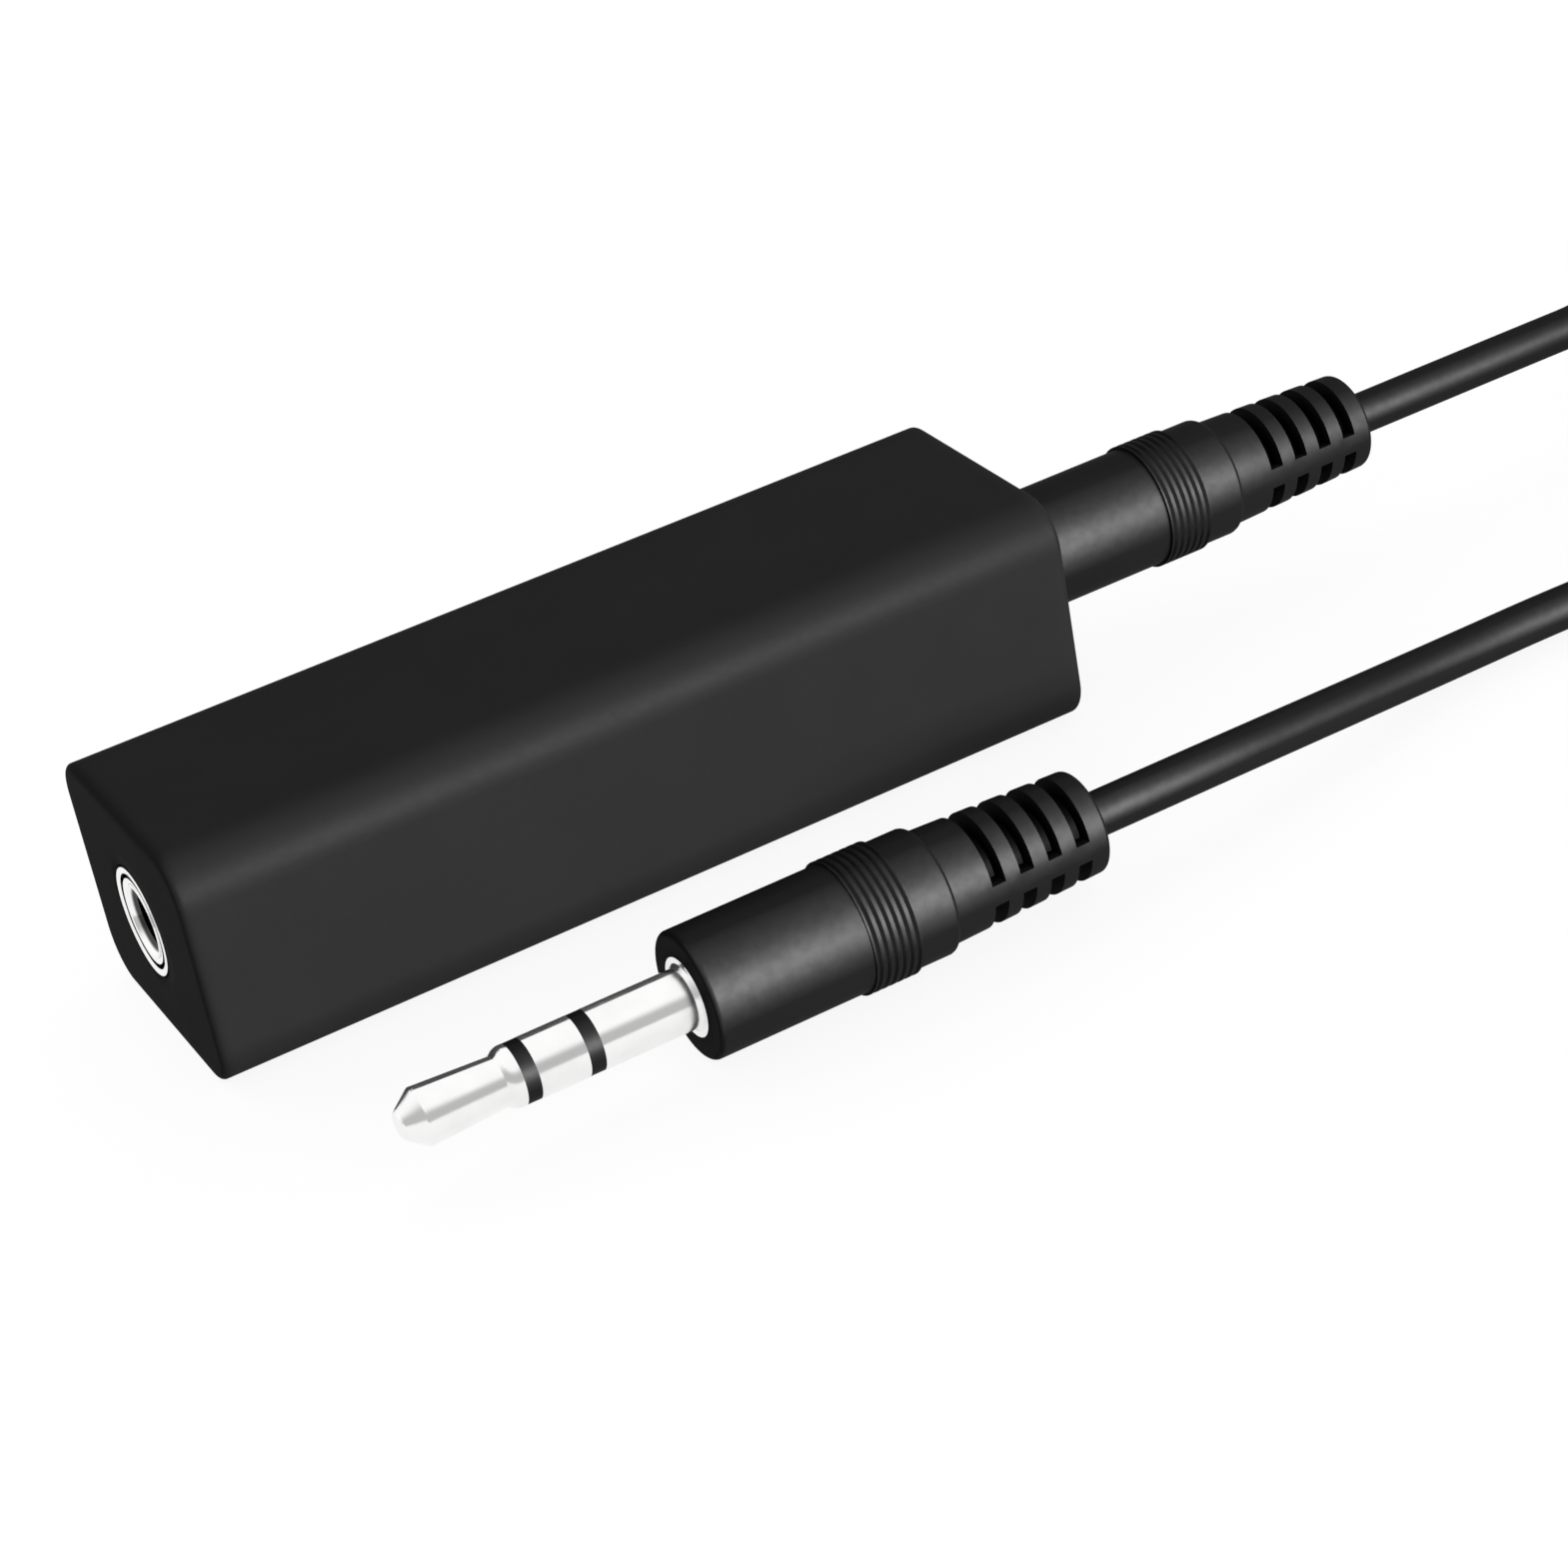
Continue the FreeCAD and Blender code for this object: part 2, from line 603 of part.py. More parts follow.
def winding(label, level):
    """A wound layer round the bobbin; level 0 lies on the bobbin, level 1 over the first."""
    gap = f"(bobbin_wall + fit_gap + {level} * ({winding_build} + winding_tape))"
    body = doc.addObject("PartDesign::Body", label)
    sketch = new_sketch(body, f"section_{label}", "XZ_Plane")
    for build in (winding_build, "0"):
        rectangle(sketch, both(f"({hole_x} + {gap} + {build})"), both(f"({hole_z} + {gap} + {build})"))
    extrude(body, "Pad", sketch, f"2 * ({window} - bobbin_flange - fit_gap)", "Symmetric")

    def outside_corner(edge):
        straight = isinstance(edge.Curve, Part.Line) and abs(edge.Curve.Direction.y) > 0.99
        return straight and abs(abs(edge.BoundBox.XMin) - body.Shape.BoundBox.XMax) < near

    round_edges(body, f"corners_{label}", f"min(winding_round; 2 * {winding_build})", outside_corner)
    return body


def transformer(word, sign):
    """One transformer, standing on the board by its pins."""
    half_x = f"{core_width} / 2"
    half_y = f"{core_length} / 2"
    stack = centred(core_stack)
    pieces = {}
    e_blank = block(f"e_blank_{word}", centred(core_width),
                    (f"-{half_y}", f"{half_y} - {core_side}"), stack)
    slots = []
    for name, limits in (("near", (f"{core_centre} / 2", f"{half_x} - {core_side}")),
                         ("far", (f"{core_side} - {half_x}", f"-{core_centre} / 2"))):
        slots.append(block(f"window_{name}_{word}", limits, (f"{core_side} - {half_y}", half_y), stack))
    pieces["e_core"] = cut(f"e_cut_{word}", e_blank, slots)
    pieces["i_core"] = doc.addObject("PartDesign::Body", f"i_bar_{word}")
    sketch = new_sketch(pieces["i_core"], f"i_outline_{word}", "XY_Plane")
    rectangle(sketch, centred(core_width), (f"{half_y} - {core_side}", half_y))
    extrude(pieces["i_core"], "Pad", sketch, core_stack, "Symmetric")

    wall_x = f"({hole_x} + bobbin_wall)"
    wall_z = f"({hole_z} + bobbin_wall)"
    across = both(flange_x)
    tall = centred(bobbin_height)
    rail = (f"-{bobbin_height} / 2", f"-{hole_z}")
    front_face = f"bobbin_flange - {window}"
    back_face = f"{window} - bobbin_flange"
    spool = [
        block(f"tube_{word}", both(wall_x), both(window), both(wall_z)),
        block(f"flange_front_{word}", across, (f"-{window}", front_face), tall),
        block(f"flange_back_{word}", across, (back_face, window), tall),
        block(f"rail_front_{word}", across, (f"rail_short - {half_y}", front_face), rail),
        block(f"rail_back_{word}", across, (back_face, f"{half_y} - rail_short"), rail),
    ]
    cutters = [block(f"core_hole_{word}", both(hole_x), both(core_length), both(hole_z))]
    pins = []
    bottom = f"{leg_end} - {winding_z}"
    for i, (pin_x, pin_side) in enumerate(pin_places):
        y = f"{pin_side}{pin_row}"
        top = f"pin_depth - {bobbin_height} / 2"
        cutters.append(post(f"pin_seat_{word}_{i}", "pin_radius + fit_gap", pin_x, y,
                            f"-{bobbin_height}", top))
        pins.append(post(f"pin_{word}_{i}", "pin_radius", pin_x, y, bottom, top))
    pieces["bobbin"] = cut(f"bobbin_cut_{word}", fuse(f"spool_{word}", spool), cutters)
    pieces["primary_winding"] = winding(f"primary_{word}", 0)
    pieces["secondary_winding"] = winding(f"secondary_{word}", 1)
    pieces["transformer_pins"] = fuse(f"pins_{word}", pins)
    for name, item in pieces.items():
        place(item, f"{sign}{transformer_x}", "0", winding_z)
        node(item, f"{name}_{word}")


transformer("left", "-")
transformer("right", "")


# Plugs. A plug's own frame has its origin in the face of the grip, on its axis, with +X
# towards the cord, so its metal part lies at negative X.

neck_end = f"-{neck_length}"
shoulder = f"-({neck_length} + shoulder_share * tip_flare)"
ring_front = "-(sleeve_length + rear_band + ring_length)"
ring_rear = "-(sleeve_length + rear_band)"
sleeve_front = "-sleeve_length"
waist = f"-{waist_length}"
head = f"-({waist_length} + tip_head)"
band_radius = "(grip_radius + band_rise)"
relief_radius = "(grip_radius - relief_step)"
relief_tip_radius = f"({relief_radius} - relief_taper)"
relief_end = "(grip_length + relief_length)"
band_end = "(grip_length - band_back)"
band_start = f"({band_end} - band_length)"
groove_pitch = f"((band_length - 2 * groove_margin - groove_width) / {groove_count - 1})"
slot_pitch = f"((relief_length - slot_lead - slot_tail - slot_width) / {slot_count - 1})"
slot_start = "(grip_length + slot_lead)"
tail = [f"sleeve_tail + {steps} * tail_step" for steps in range(tube_count + 1)]
tube_radius = [f"rod_radius + {count} * (tube_wall + fit_gap)" for count in range(tube_count + 1)]


def grip_blank(word):
    """The grip as turned: outside with its grooves, inside fitted to the metal part."""
    corners = [("0", "grip_radius"), (band_start, "grip_radius"), (band_start, band_radius)]
    for i in range(groove_count):
        edge = f"{band_start} + groove_margin + {i} * {groove_pitch}"
        corners.append((edge, band_radius))
        corners.append((f"{edge} + groove_width / 2", f"{band_radius} - groove_depth"))
        corners.append((f"{edge} + groove_width", band_radius))
    corners += [
        (band_end, band_radius), (band_end, "grip_radius"),
        ("grip_length", "grip_radius"), ("grip_length", relief_radius),
        (relief_end, relief_tip_radius), (relief_end, "0"), (f"{tail[-1]} + fit_gap", "0"),
    ]
    for i in range(tube_count):
        radius = f"{tube_radius[i]} + fit_gap"
        corners += [(f"{tail[-1 - i]} + fit_gap", radius), (f"{tail[-2 - i]} + fit_gap", radius)]
    corners += [
        (f"{tail[0]} + fit_gap", f"{tube_radius[-1]} + fit_gap"),
        ("flange_thickness - flange_proud + fit_gap", f"{tube_radius[-1]} + fit_gap"),
        ("flange_thickness - flange_proud + fit_gap", "flange_radius + fit_gap"),
        ("0", "flange_radius + fit_gap"),
    ]
    body = turned(f"grip_blank_{word}", corners)
    round_edges(body, f"face_edge_{word}", "grip_face_round", rim(size("grip_radius"), 0))
    round_edges(body, f"rear_edge_{word}", "min(grip_rear_round; round_share * relief_step)",
                rim(size("grip_radius"), size("grip_length")))
    tip_radius = size("grip_radius") - size("relief_step") - size("relief_taper")
    round_edges(body, f"relief_edge_{word}", "relief_round", rim(tip_radius))
    return body


def relief_slots(word):
    """Cutters of the slots above and below the webs of the strain relief."""
    sectors = []
    for i in range(slot_count):
        for name, start in (("top", 0), ("bottom", 180)):
            item = doc.addObject("Part::Cylinder", f"slot_{name}_{word}_{i}")
            bind(item, "Radius", "grip_radius")
            bind(item, "Height", "slot_width")
            bind(item, "Angle", "180 - 2 * slot_web")
            lying = FreeCAD.Rotation(FreeCAD.Vector(0, 0, 1), FreeCAD.Vector(1, 0, 0))
            from_y = FreeCAD.Rotation(FreeCAD.Vector(1, 0, 0), 90 + start + size("slot_web"))
            item.Placement.Rotation = from_y * lying
            bind(item, "Placement.Base.x", f"{slot_start} + {i} * {slot_pitch}")
            sectors.append(item)
    core = rod(f"slot_core_{word}", "cord_radius + slot_wall", "grip_length", relief_end)
    return cut(f"slots_{word}", fuse(f"sectors_{word}", sectors), [core])


def plug(word, x, y, z):
    """One plug: tip, ring and sleeve on their insulators, and the moulded grip."""
    band = "shaft_radius - band_sink"
    pieces = {}
    pieces["tip"] = turned(f"tip_{word}", [
        (f"{head} - tip_cone", "0"), (f"{head} - tip_cone", "apex_radius"), (head, head_radius),
        (waist, waist_radius), (shoulder, "shaft_radius"), (neck_end, "shaft_radius"),
        (neck_end, "rod_radius"), (tail[-1], "rod_radius"), (tail[-1], "0")])
    shoulder_place = -(size("sleeve_length") + size("rear_band") + size("ring_length")
                       + size("front_band") + size("shoulder_share") * size("tip_flare"))
    round_edges(pieces["tip"], f"shoulder_round_{word}", "shoulder_curve * tip_flare",
                rim(size("shaft_radius"), shoulder_place))
    round_edges(pieces["tip"], f"head_round_{word}", "head_round",
                rim(size("shaft_radius") - size("head_cut")))
    round_edges(pieces["tip"], f"apex_round_{word}", "min(apex_round; round_share * apex_radius)",
                rim(size("apex_radius")))
    layers = [
        ("front_insulator", neck_end, ring_front, band),
        ("ring", ring_front, ring_rear, "shaft_radius"),
        ("rear_insulator", ring_rear, sleeve_front, band),
    ]
    for i, (name, front, rear, radius) in enumerate(layers):
        bore = f"{tube_radius[i]} + fit_gap"
        pieces[name] = turned(f"{name}_{word}", [
            (front, bore), (front, radius), (rear, radius), (rear, tube_radius[i + 1]),
            (tail[-2 - i], tube_radius[i + 1]), (tail[-2 - i], bore)])
    bore = f"{tube_radius[-2]} + fit_gap"
    pieces["sleeve"] = turned(f"sleeve_{word}", [
        (sleeve_front, bore), (sleeve_front, "shaft_radius"),
        ("-flange_proud - flange_fillet", "shaft_radius"), ("-flange_proud", "shaft_radius + flange_fillet"),
        ("-flange_proud", "flange_radius"), ("flange_thickness - flange_proud", "flange_radius"),
        ("flange_thickness - flange_proud", tube_radius[-1]), (tail[0], tube_radius[-1]),
        (tail[0], bore)])
    pieces["grip"] = cut(f"grip_{word}", grip_blank(word), [relief_slots(word)])
    for name, item in pieces.items():
        place(item, x, y, z)
        node(item, f"{word}_plug_{name}")


plug("fitted", f"housing_length / 2 + {plug_face}", "0", axis_height)
plug("free", "free_plug_x", "free_plug_y", f"{band_radius} + floor_gap")


# Cord, in three pieces: the lead from the fitted plug, the coil of what isn't laid out, and
# the tail to the free plug. The points between are chosen by hand.

plug_length = size("grip_length") + size("relief_length")
stand_off = size("bezel_proud") + size("plug_stand_off") + size("flange_proud")
lead_start = FreeCAD.Vector(size("housing_length") / 2 + stand_off + plug_length, 0,
                            size("housing_height") / 2)
tail_end = FreeCAD.Vector(size("free_plug_x") + plug_length, size("free_plug_y"),
                          size("grip_radius") + size("band_rise") + size("floor_gap"))
radius = size("cord_radius")
layer_top = (2 * coil_layers - 1) * radius
outer_turn = size("coil_middle") + size("coil_spread")
inner_turn = size("coil_middle") - size("coil_spread")
coil_centre = FreeCAD.Vector(size("coil_x"), size("coil_y"), 0)
leave_angle = math.radians(235)

enter = coil_centre + FreeCAD.Vector(0, outer_turn, layer_top)
enter_stub = enter - FreeCAD.Vector(size("coil_stub"), 0, 0)
outward = FreeCAD.Vector(math.cos(leave_angle), math.sin(leave_angle), 0)
onward = FreeCAD.Vector(math.sin(leave_angle), -math.cos(leave_angle), 0)
leave = coil_centre + outward * outer_turn + FreeCAD.Vector(0, 0, radius)
leave_stub = leave + onward * size("coil_stub")

lead_points = [
    lead_start,
    FreeCAD.Vector(67.5, lead_start.y, lead_start.z),
    FreeCAD.Vector(73.6, 0.0, 7.15),
    FreeCAD.Vector(79.4, enter_stub.y, enter_stub.z),
    enter_stub,
]
tail_points = [
    leave_stub,
    leave_stub + onward * size("tail_run"),
    FreeCAD.Vector(61.0, -20.2, radius),
    FreeCAD.Vector(51.0, -19.75, radius),
    FreeCAD.Vector(41.5, -19.8, radius),
    FreeCAD.Vector(33.0, -21.0, 2.15),
    FreeCAD.Vector(25.3, tail_end.y, tail_end.z),
    tail_end,
]


def tube(label, points):
    """A round tube along straight runs joined by tangent arcs."""
    edges = []
    start = points[0]
    for before, corner, after in zip(points, points[1:], points[2:]):
        back = before - corner
        ahead = after - corner
        trim = trim_share * min(back.Length, ahead.Length)
        back.normalize()
        ahead.normalize()
        half_turn = (math.pi - back.getAngle(ahead)) / 2
        bend = trim / math.tan(half_turn)
        middle = back + ahead
        middle.normalize()
        crest = corner + middle * (bend / math.cos(half_turn) - bend)
        edges.append(Part.LineSegment(start, corner + back * trim).toShape())
        edges.append(Part.Arc(corner + back * trim, crest, corner + ahead * trim).toShape())
        start = corner + ahead * trim
        print(f"{label}: turn {math.degrees(2 * half_turn):.1f} degrees, radius {bend:.1f}")
    edges.append(Part.LineSegment(start, points[-1]).toShape())
    path = Part.Wire(edges)
    section = Part.Wire(Part.Circle(points[0], points[1] - points[0], radius).toShape())
    shape = path.makePipeShell([section], True, True)
    expected = math.pi * radius ** 2 * path.Length
    print(f"{label}: length {path.Length:.1f}, volume {shape.Volume:.2f} of {expected:.2f}")
    item = doc.addObject("Part::Feature", label)
    item.Shape = shape
    return item


def coil(label):
    """Outer shape of the coil, with the straight stretches that lead into and out of it."""
    height = 2 * radius * coil_layers
    ring = Part.makeCylinder(outer_turn + radius, height, coil_centre)
    ring = ring.cut(Part.makeCylinder(inner_turn - radius, height, coil_centre))
    rims = [edge for edge in ring.Edges if isinstance(edge.Curve, Part.Circle)]
    ring = ring.makeFillet(edge_share * radius, rims)
    stubs = [Part.makeCylinder(radius, size("coil_stub"), enter_stub, FreeCAD.Vector(1, 0, 0)),
             Part.makeCylinder(radius, size("coil_stub"), leave, onward)]
    item = doc.addObject("Part::Feature", label)
    item.Shape = ring.fuse(stubs).removeSplitter()
    return item


node(tube("lead_tube", lead_points), "cord_lead")
node(coil("coil_ring"), "cord_coil")
node(tube("tail_tube", tail_points), "cord_tail")

# Everything is worked out and looked over before any file is written.

doc.recompute()
for item in doc.Objects:
    if "Invalid" in item.State or "Error" in item.State:
        raise RuntimeError(f"{item.Name} failed: {item.State}")
for item in nodes:
    if item.Shape.isNull() or not item.Shape.isValid() or not item.Shape.Solids:
        raise RuntimeError(f"{item.Label} has no sound shape")
os.makedirs("parts", exist_ok=True)
for item in nodes:
    item.Shape.exportStep(f"parts/{item.Label}.step")
    box = item.Shape.BoundBox
    print(f"{item.Label}: {len(item.Shape.Solids)} solid, {item.Shape.Volume:.2f} mm3, "
          f"X {box.XMin:.2f} {box.XMax:.2f}, Y {box.YMin:.2f} {box.YMax:.2f}, "
          f"Z {box.ZMin:.2f} {box.ZMax:.2f}")
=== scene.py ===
# Ground loop isolator: a small black box with a stereo socket in each end, and its cord with a
# moulded plug on both ends. Metres throughout; the box's length runs along X, its front is -Y.
import math

import bmesh
import bpy
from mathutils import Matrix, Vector


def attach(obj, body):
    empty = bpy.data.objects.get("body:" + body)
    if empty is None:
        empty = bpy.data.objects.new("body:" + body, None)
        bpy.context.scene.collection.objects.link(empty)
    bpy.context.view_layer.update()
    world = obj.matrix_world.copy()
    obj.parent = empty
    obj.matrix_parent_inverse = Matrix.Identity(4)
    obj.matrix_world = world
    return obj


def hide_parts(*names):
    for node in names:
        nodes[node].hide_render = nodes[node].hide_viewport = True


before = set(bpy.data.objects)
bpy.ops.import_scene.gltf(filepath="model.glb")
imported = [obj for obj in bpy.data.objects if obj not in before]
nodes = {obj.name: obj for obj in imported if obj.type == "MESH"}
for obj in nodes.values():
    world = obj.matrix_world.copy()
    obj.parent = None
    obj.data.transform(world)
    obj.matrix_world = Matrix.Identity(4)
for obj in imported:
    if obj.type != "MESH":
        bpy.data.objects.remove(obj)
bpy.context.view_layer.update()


# Camera: where the photograph was taken from, a long lens in front of the empty socket's end
# and well above it. The three turns are in degrees.
camera_data = bpy.data.cameras.new("photo_camera")
camera_data.sensor_width = 36.0
camera_data.lens = 92.677
camera_data.clip_start = 0.01
camera_data.clip_end = 20.0
camera = bpy.data.objects.new("photo_camera", camera_data)
camera.location = (-0.0715214, -0.1904619, 0.1193568)
camera.rotation_euler = [math.radians(turn) for turn in (59.451193, 9.420111, -29.110259)]
bpy.context.scene.collection.objects.link(camera)
bpy.context.scene.camera = camera


# Cord: one round black jacket from plug to plug. It leaves the fitted plug level, lies in a
# neat coil of four layers beside the box, and comes back along the table to the free plug.
CORD_RADIUS = 0.0013
COIL_MIDDLE = Vector((0.0956, -0.017, 0.0))
OUTER_TURN = 0.01796            # radius of the coil's outermost turn, to the cord's middle
INNER_TURN = 0.01204
LAYER_HEIGHTS = (0.0091, 0.0065, 0.0039, 0.0013)
LAYER_SWEEP = 818.75            # degrees wound in each layer, in or out by a diameter a turn
STEP_DOWN = 60.0                # degrees taken to drop from one layer to the next
COIL_SWEEP = 4 * LAYER_SWEEP + 3 * STEP_DOWN
COIL_LEGS = 154                 # legs between the coil's control points
LEG_SWEEP = COIL_SWEEP / COIL_LEGS
COIL_START = 90.0               # degrees from X at which the cord comes on to the coil


def coil_place(swept):
    """Radius and height of the cord's middle after so many degrees of the coil."""
    swept = min(max(swept, 0.0), COIL_SWEEP)
    layer = min(int(swept // (LAYER_SWEEP + STEP_DOWN)), 3)
    wound = swept - layer * (LAYER_SWEEP + STEP_DOWN)
    share = min(wound / LAYER_SWEEP, 1.0)
    if layer % 2:
        share = 1.0 - share
    radius = OUTER_TURN + (INNER_TURN - OUTER_TURN) * share
    height = LAYER_HEIGHTS[layer]
    if wound > LAYER_SWEEP:
        dropped = (wound - LAYER_SWEEP) / STEP_DOWN
        height += (LAYER_HEIGHTS[layer + 1] - height) * dropped
    return radius, height


# Out of the fitted plug and up on to the coil's top layer.
route = [
    Vector((0.05354, 0.0, 0.00719)),
    Vector((0.06750, 0.0, 0.00719)),
    Vector((0.07360, 0.0, 0.00715)),
    Vector((0.07940, 0.00096, 0.0091)),
    Vector((0.08500, 0.00096, 0.0091)),
]
# Round the coil. The curve touches its legs at their middles, so the points stand further out.
for count in range(COIL_LEGS + 2):
    swept = (count - 0.5) * LEG_SWEEP
    radius, height = coil_place(swept)
    angle = math.radians(COIL_START - swept)
    reach = radius / math.cos(math.radians(LEG_SWEEP / 2))
    route.append(COIL_MIDDLE + Vector((reach * math.cos(angle), reach * math.sin(angle), height)))
# Back along the table and up to the free plug's own height.
route += [
    Vector((0.076616, -0.025632, 0.0013)),
    Vector((0.071783, -0.022248, 0.0013)),
    Vector((0.06100, -0.02020, 0.0013)),
    Vector((0.05400, -0.01975, 0.0013)),
    Vector((0.04600, -0.02001, 0.00145)),
    Vector((0.03500, -0.02182, 0.00275)),
    Vector((0.02550, -0.02343, 0.00390)),
    Vector((0.01848, -0.02343, 0.00390)),
]
cord_curve = bpy.data.curves.new("plug_cord", "CURVE")
cord_curve.dimensions = "3D"
cord_curve.resolution_u = 8
cord_curve.bevel_depth = CORD_RADIUS
cord_curve.bevel_resolution = 6
cord_curve.use_fill_caps = True
cord_line = cord_curve.splines.new("NURBS")
cord_line.points.add(len(route) - 1)
for point, place in zip(cord_line.points, route):
    point.co = (*place, 1.0)
cord_line.order_u = 3
cord_line.use_endpoint_u = True
cord = bpy.data.objects.new("plug_cord", cord_curve)
bpy.context.scene.collection.objects.link(cord)


# Every black moulding has a fine grain that its mould leaves, and a little unevenness in
# colour and sheen. The fine noise is the grain and the broad one the unevenness.
def add_node(tree, kind, inputs=None, **settings):
    """A shader node with its settings and the values of its inputs, by name or by number."""
    made = tree.nodes.new(kind)
    for setting, value in settings.items():
        setattr(made, setting, value)
    for socket, value in (inputs or {}).items():
        made.inputs[socket].default_value = value
    return made


def ramp(tree, start, end, first, last, **settings):
    """A node that goes from first to last while its input goes from start to end."""
    return add_node(tree, "ShaderNodeMapRange", {
        "From Min": start, "From Max": end, "To Min": first, "To Max": last}, **settings)


def join(tree, *links):
    """Links in a node tree, each as a node, its output, the next node and its input."""
    for source, output, target, socket in links:
        tree.links.new(source.outputs[output], target.inputs[socket])


def node_group(name, inputs, outputs):
    """A node group with sockets of the named kinds, and the two nodes at its ends."""
    group = bpy.data.node_groups.new(name, "ShaderNodeTree")
    for way, sockets in (("INPUT", inputs), ("OUTPUT", outputs)):
        for socket, kind in sockets.items():
            group.interface.new_socket(socket, in_out=way, socket_type="NodeSocket" + kind)
    return group, add_node(group, "NodeGroupInput"), add_node(group, "NodeGroupOutput")


grain, grain_in, grain_out = node_group(
    "moulded_grain",
    {"Color": "Color", "Mottle": "Float", "Grains per metre": "Float", "Roughness": "Float",
     "Spread": "Float"},
    {"Color": "Color", "Roughness": "Float", "Satin": "Float", "Height": "Float"})
grain_place = add_node(grain, "ShaderNodeTexCoord")
fine = add_node(grain, "ShaderNodeTexNoise", {"Detail": 3.0}, noise_dimensions="3D")
broad = add_node(grain, "ShaderNodeTexNoise", {"Scale": 170.0, "Detail": 2.0},
                 noise_dimensions="3D")
# The broad noise swings from -1 to 1. The satin gains or loses a quarter with it, and the fine
# grain scales the satin by 0.65 to 1.35.
swing = add_node(grain, "ShaderNodeMath", {1: 2.0, 2: -1.0}, operation="MULTIPLY_ADD")
uneven_sheen = add_node(grain, "ShaderNodeMath", operation="MULTIPLY_ADD")
uneven_tone = add_node(grain, "ShaderNodeMath", {2: 1.0}, operation="MULTIPLY_ADD")
tinted = add_node(grain, "ShaderNodeVectorMath", operation="SCALE")
worn = add_node(grain, "ShaderNodeMath", {1: -0.25, 2: 1.0}, operation="MULTIPLY_ADD")
speckle = add_node(grain, "ShaderNodeMath", {1: 0.7, 2: 0.65}, operation="MULTIPLY_ADD")
uneven_satin = add_node(grain, "ShaderNodeMath", operation="MULTIPLY")
join(grain,
     (grain_place, "Object", fine, "Vector"), (grain_place, "Object", broad, "Vector"),
     (grain_in, "Grains per metre", fine, "Scale"), (broad, "Fac", swing, 0),
     (swing, 0, uneven_sheen, 0), (grain_in, "Spread", uneven_sheen, 1),
     (grain_in, "Roughness", uneven_sheen, 2),
     (swing, 0, uneven_tone, 0), (grain_in, "Mottle", uneven_tone, 1),
     (grain_in, "Color", tinted, 0), (uneven_tone, 0, tinted, "Scale"),
     (swing, 0, worn, 0), (fine, "Fac", speckle, 0),
     (worn, 0, uneven_satin, 0), (speckle, 0, uneven_satin, 1),
     (tinted, 0, grain_out, "Color"), (uneven_sheen, 0, grain_out, "Roughness"),
     (uneven_satin, 0, grain_out, "Satin"), (fine, "Fac", grain_out, "Height"))
SATIN_FULL = 0.02               # how far a face may turn from the eye and keep all its satin,
SATIN_GONE = 0.31               # and how far it has turned when none is left


def moulding(name, colour, roughness, specular, satin=0.0, satin_roughness=0.5, grains=2600.0,
             depth=0.000006, mottle=0.12, spread=0.06, soft_edge=0.0):
    """A moulded plastic or rubber: its colour, its own sheen, the satin skin that shows where
    it faces the eye, the depth of its grain and how far its edges are softened, in metres."""
    material = bpy.data.materials.new(name)
    material.use_nodes = True
    tree = material.node_tree
    shader = tree.nodes["Principled BSDF"]
    shader.inputs["Specular IOR Level"].default_value = specular
    shader.inputs["Coat Roughness"].default_value = satin_roughness
    skin = add_node(tree, "ShaderNodeGroup", node_tree=grain, name="skin", inputs={
        "Color": (*colour, 1.0), "Mottle": mottle, "Grains per metre": grains,
        "Roughness": roughness, "Spread": spread})
    bump = add_node(tree, "ShaderNodeBump", {"Strength": 1.0, "Distance": depth})
    if soft_edge:
        rounded = add_node(tree, "ShaderNodeBevel", {"Radius": soft_edge}, samples=6)
        join(tree, (rounded, "Normal", bump, "Normal"))
    join(tree,
         (skin, "Color", shader, "Base Color"), (skin, "Roughness", shader, "Roughness"),
         (skin, "Height", bump, "Height"), (bump, "Normal", shader, "Normal"))
    if satin:
        turned_away = add_node(tree, "ShaderNodeLayerWeight", {"Blend": 0.5})
        fade = ramp(tree, SATIN_FULL, SATIN_GONE, satin, 0.0)
        coat = add_node(tree, "ShaderNodeMath", operation="MULTIPLY", name="coat")
        join(tree,
             (turned_away, "Facing", fade, "Value"), (fade, "Result", coat, 0),
             (skin, "Satin", coat, 1), (coat, 0, shader, "Coat Weight"))
    return material


SOFT_BLACK = {"colour": (0.0060, 0.0060, 0.0062), "roughness": 0.55, "specular": 0.008,
              "satin": 0.62, "satin_roughness": 0.53, "grains": 1900.0}
cord_curve.materials.append(moulding("cord_jacket", **SOFT_BLACK))
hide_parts("cord_lead", "cord_coil", "cord_tail")
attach(cord, "root")


# Box: one deep black ABS moulding, satin from a finely eroded mould. The cover under it is
# the same plastic and snaps in from below.
def dress(material, *names):
    """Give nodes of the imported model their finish."""
    for name in names:
        for held in nodes[name].material_slots:
            held.material = material


box_plastic = moulding("box_plastic", (0.0090, 0.0090, 0.0092), 0.62, 0.0065, satin=0.105,
                       satin_roughness=0.53, soft_edge=0.0011)
dress(box_plastic, "housing_shell", "bottom_cover")


# Plug grips: soft black PVC moulded over the cord, a little shinier than the box. Painted shade:
# deep in the slots of the strain relief and on the grips' faces close to the plug's line, a mask
# of the radius from that line darkens the colour and takes away the satin.
PLUG_MIDDLES = {"fitted_plug": (0.0, 0.0, 0.00719), "free_plug": (0.0, -0.02343, 0.0039)}
SHADE_DARKEST_RADIUS = 0.0021             # radius up to which the painted shade is darkest
SHADE_GONE_RADIUS = 0.0030             # radius from which there is no painted shade
SLOT_PAINTED_SHADE = 0.12               # share of colour and satin kept where the painted shade is darkest
